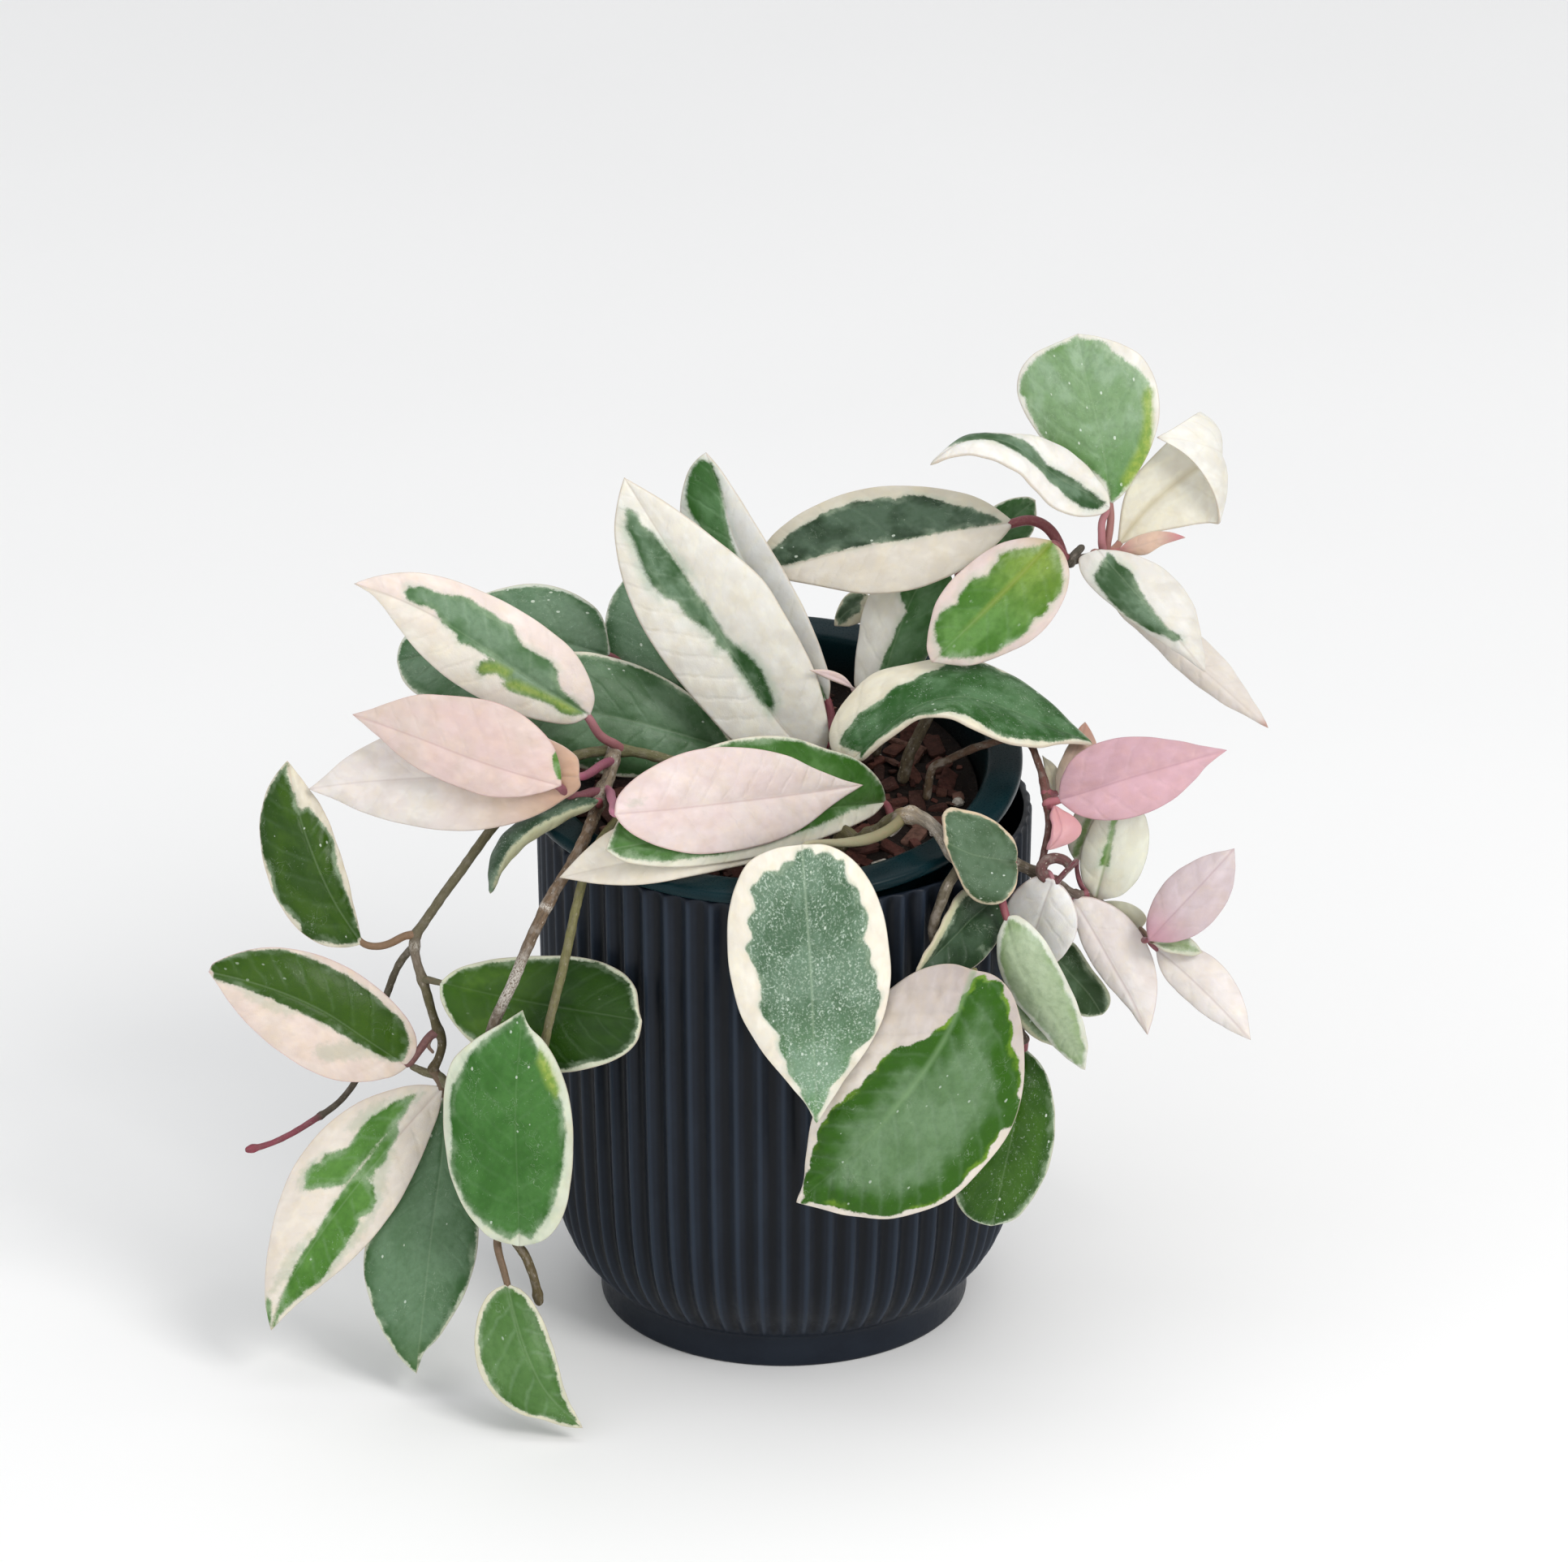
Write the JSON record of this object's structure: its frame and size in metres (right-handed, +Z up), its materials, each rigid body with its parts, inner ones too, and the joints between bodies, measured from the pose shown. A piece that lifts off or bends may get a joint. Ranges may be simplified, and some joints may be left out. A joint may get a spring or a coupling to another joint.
{
  "type": "potted krimson queen hoya",
  "caption": "Trailing hoya with thick cream-edged green and pink leaves, in a teal grow pot leaning inside a dark vertically ribbed planter.",
  "frame": {"origin": "centre of the planter foot's underside, on the floor", "axes": "+Z up, -Y toward the front as pictured, +X to the viewer's right"},
  "size_m": [0.3186, 0.181, 0.2991],
  "materials": {
    "leaf_back_small": "waxy thick leaf, green and cream variegation, satin gloss",
    "leaf_back_upright_left": "waxy thick leaf, green and cream variegation, satin gloss",
    "leaf_back_upright_right": "waxy thick leaf, green and cream variegation, satin gloss",
    "leaf_centre_tall": "waxy thick leaf, green and cream variegation, satin gloss",
    "leaf_centre_tall_back": "waxy thick leaf, green and cream variegation, satin gloss",
    "leaf_front_broad": "waxy thick leaf, green and cream variegation, satin gloss",
    "leaf_front_cream_under": "waxy thick leaf, green and cream variegation, satin gloss",
    "leaf_front_green_under": "waxy thick leaf, green and cream variegation, satin gloss",
    "leaf_front_hanging": "waxy thick leaf, green and cream variegation, satin gloss",
    "leaf_front_pink": "waxy thick leaf, green and cream variegation, satin gloss",
    "leaf_left_back_round": "waxy thick leaf, green and cream variegation, satin gloss",
    "leaf_left_behind_green": "waxy thick leaf, green and cream variegation, satin gloss",
    "leaf_left_cream": "waxy thick leaf, green and cream variegation, satin gloss",
    "leaf_left_grey_narrow": "waxy thick leaf, green and cream variegation, satin gloss",
    "leaf_left_half_green": "waxy thick leaf, green and cream variegation, satin gloss",
    "leaf_left_low_cream": "waxy thick leaf, green and cream variegation, satin gloss",
    "leaf_left_low_green": "waxy thick leaf, green and cream variegation, satin gloss",
    "leaf_left_low_grey": "waxy thick leaf, green and cream variegation, satin gloss",
    "leaf_left_low_small": "waxy thick leaf, green and cream variegation, satin gloss",
    "leaf_left_pink": "waxy thick leaf, green and cream variegation, satin gloss",
    "leaf_left_upper": "waxy thick leaf, green and cream variegation, satin gloss",
    "leaf_left_upright_dark": "waxy thick leaf, green and cream variegation, satin gloss",
    "leaf_left_wide_green": "waxy thick leaf, green and cream variegation, satin gloss",
    "leaf_right_arch": "waxy thick leaf, green and cream variegation, satin gloss",
    "leaf_right_bright": "waxy thick leaf, green and cream variegation, satin gloss",
    "leaf_right_cream_fold": "waxy thick leaf, green and cream variegation, satin gloss",
    "leaf_right_dark_back": "waxy thick leaf, green and cream variegation, satin gloss",
    "leaf_right_dark_fold": "waxy thick leaf, green and cream variegation, satin gloss",
    "leaf_right_dark_low": "waxy thick leaf, green and cream variegation, satin gloss",
    "leaf_right_drooping": "waxy thick leaf, green and cream variegation, satin gloss",
    "leaf_right_drooping_back": "waxy thick leaf, green and cream variegation, satin gloss",
    "leaf_right_end_pale": "waxy thick leaf, green and cream variegation, satin gloss",
    "leaf_right_end_pink": "waxy thick leaf, green and cream variegation, satin gloss",
    "leaf_right_end_white": "waxy thick leaf, green and cream variegation, satin gloss",
    "leaf_right_folded_grey": "waxy thick leaf, green and cream variegation, satin gloss",
    "leaf_right_pale_back": "waxy thick leaf, green and cream variegation, satin gloss",
    "leaf_right_pale_fold": "waxy thick leaf, green and cream variegation, satin gloss",
    "leaf_right_pale_round": "waxy thick leaf, green and cream variegation, satin gloss",
    "leaf_right_pale_tip": "waxy thick leaf, green and cream variegation, satin gloss",
    "leaf_right_rose": "waxy thick leaf, green and cream variegation, satin gloss",
    "leaf_right_rose_small": "waxy thick leaf, green and cream variegation, satin gloss",
    "leaf_right_white_long": "waxy thick leaf, green and cream variegation, satin gloss",
    "leaf_right_white_small": "waxy thick leaf, green and cream variegation, satin gloss",
    "leaf_top_arched": "waxy thick leaf, green and cream variegation, satin gloss",
    "leaf_top_behind": "waxy thick leaf, green and cream variegation, satin gloss",
    "leaf_top_folded": "waxy thick leaf, green and cream variegation, satin gloss",
    "leaf_top_long": "waxy thick leaf, green and cream variegation, satin gloss",
    "leaf_top_round": "waxy thick leaf, green and cream variegation, satin gloss",
    "liner_pot": "dark teal moulded plastic, satin",
    "planter": "matte navy slate glaze over fine vertical ribs",
    "potting_mix": "dark brown bark-based potting mix with a few pale grains",
    "stem_back": "olive-brown stem skin, paler where young, maroon at the tips",
    "stem_centre": "olive-brown stem skin, paler where young, maroon at the tips",
    "stem_front_left": "olive-brown stem skin, paler where young, maroon at the tips",
    "stem_left": "olive-brown stem skin, paler where young, maroon at the tips",
    "stem_left_back": "olive-brown stem skin, paler where young, maroon at the tips",
    "stem_right": "olive-brown stem skin, paler where young, maroon at the tips",
    "stem_right_back": "olive-brown stem skin, paler where young, maroon at the tips",
    "stem_upper_right": "olive-brown stem skin, paler where young, maroon at the tips"
  },
  "bodies": {
    "root": {"leaf_back_small": "leaf_back_small", "leaf_back_upright_left": "leaf_back_upright_left", "leaf_back_upright_right": "leaf_back_upright_right", "leaf_centre_tall": "leaf_centre_tall", "leaf_centre_tall_back": "leaf_centre_tall_back", "leaf_front_broad": "leaf_front_broad", "leaf_front_cream_under": "leaf_front_cream_under", "leaf_front_green_under": "leaf_front_green_under", "leaf_front_hanging": "leaf_front_hanging", "leaf_front_pink": "leaf_front_pink", "leaf_left_back_round": "leaf_left_back_round", "leaf_left_behind_green": "leaf_left_behind_green", "leaf_left_cream": "leaf_left_cream", "leaf_left_grey_narrow": "leaf_left_grey_narrow", "leaf_left_half_green": "leaf_left_half_green", "leaf_left_low_cream": "leaf_left_low_cream", "leaf_left_low_green": "leaf_left_low_green", "leaf_left_low_grey": "leaf_left_low_grey", "leaf_left_low_small": "leaf_left_low_small", "leaf_left_pink": "leaf_left_pink", "leaf_left_upper": "leaf_left_upper", "leaf_left_upright_dark": "leaf_left_upright_dark", "leaf_left_wide_green": "leaf_left_wide_green", "leaf_right_arch": "leaf_right_arch", "leaf_right_bright": "leaf_right_bright", "leaf_right_cream_fold": "leaf_right_cream_fold", "leaf_right_dark_back": "leaf_right_dark_back", "leaf_right_dark_fold": "leaf_right_dark_fold", "leaf_right_dark_low": "leaf_right_dark_low", "leaf_right_drooping": "leaf_right_drooping", "leaf_right_drooping_back": "leaf_right_drooping_back", "leaf_right_end_pale": "leaf_right_end_pale", "leaf_right_end_pink": "leaf_right_end_pink", "leaf_right_end_white": "leaf_right_end_white", "leaf_right_folded_grey": "leaf_right_folded_grey", "leaf_right_pale_back": "leaf_right_pale_back", "leaf_right_pale_fold": "leaf_right_pale_fold", "leaf_right_pale_round": "leaf_right_pale_round", "leaf_right_pale_tip": "leaf_right_pale_tip", "leaf_right_rose": "leaf_right_rose", "leaf_right_rose_small": "leaf_right_rose_small", "leaf_right_white_long": "leaf_right_white_long", "leaf_right_white_small": "leaf_right_white_small", "leaf_top_arched": "leaf_top_arched", "leaf_top_behind": "leaf_top_behind", "leaf_top_folded": "leaf_top_folded", "leaf_top_long": "leaf_top_long", "leaf_top_round": "leaf_top_round", "liner_pot": "liner_pot", "planter": "planter", "potting_mix": "potting_mix", "stem_back": "stem_back", "stem_centre": "stem_centre", "stem_front_left": "stem_front_left", "stem_left": "stem_left", "stem_left_back": "stem_left_back", "stem_right": "stem_right", "stem_right_back": "stem_right_back", "stem_upper_right": "stem_upper_right"}
  },
  "joints": []
}
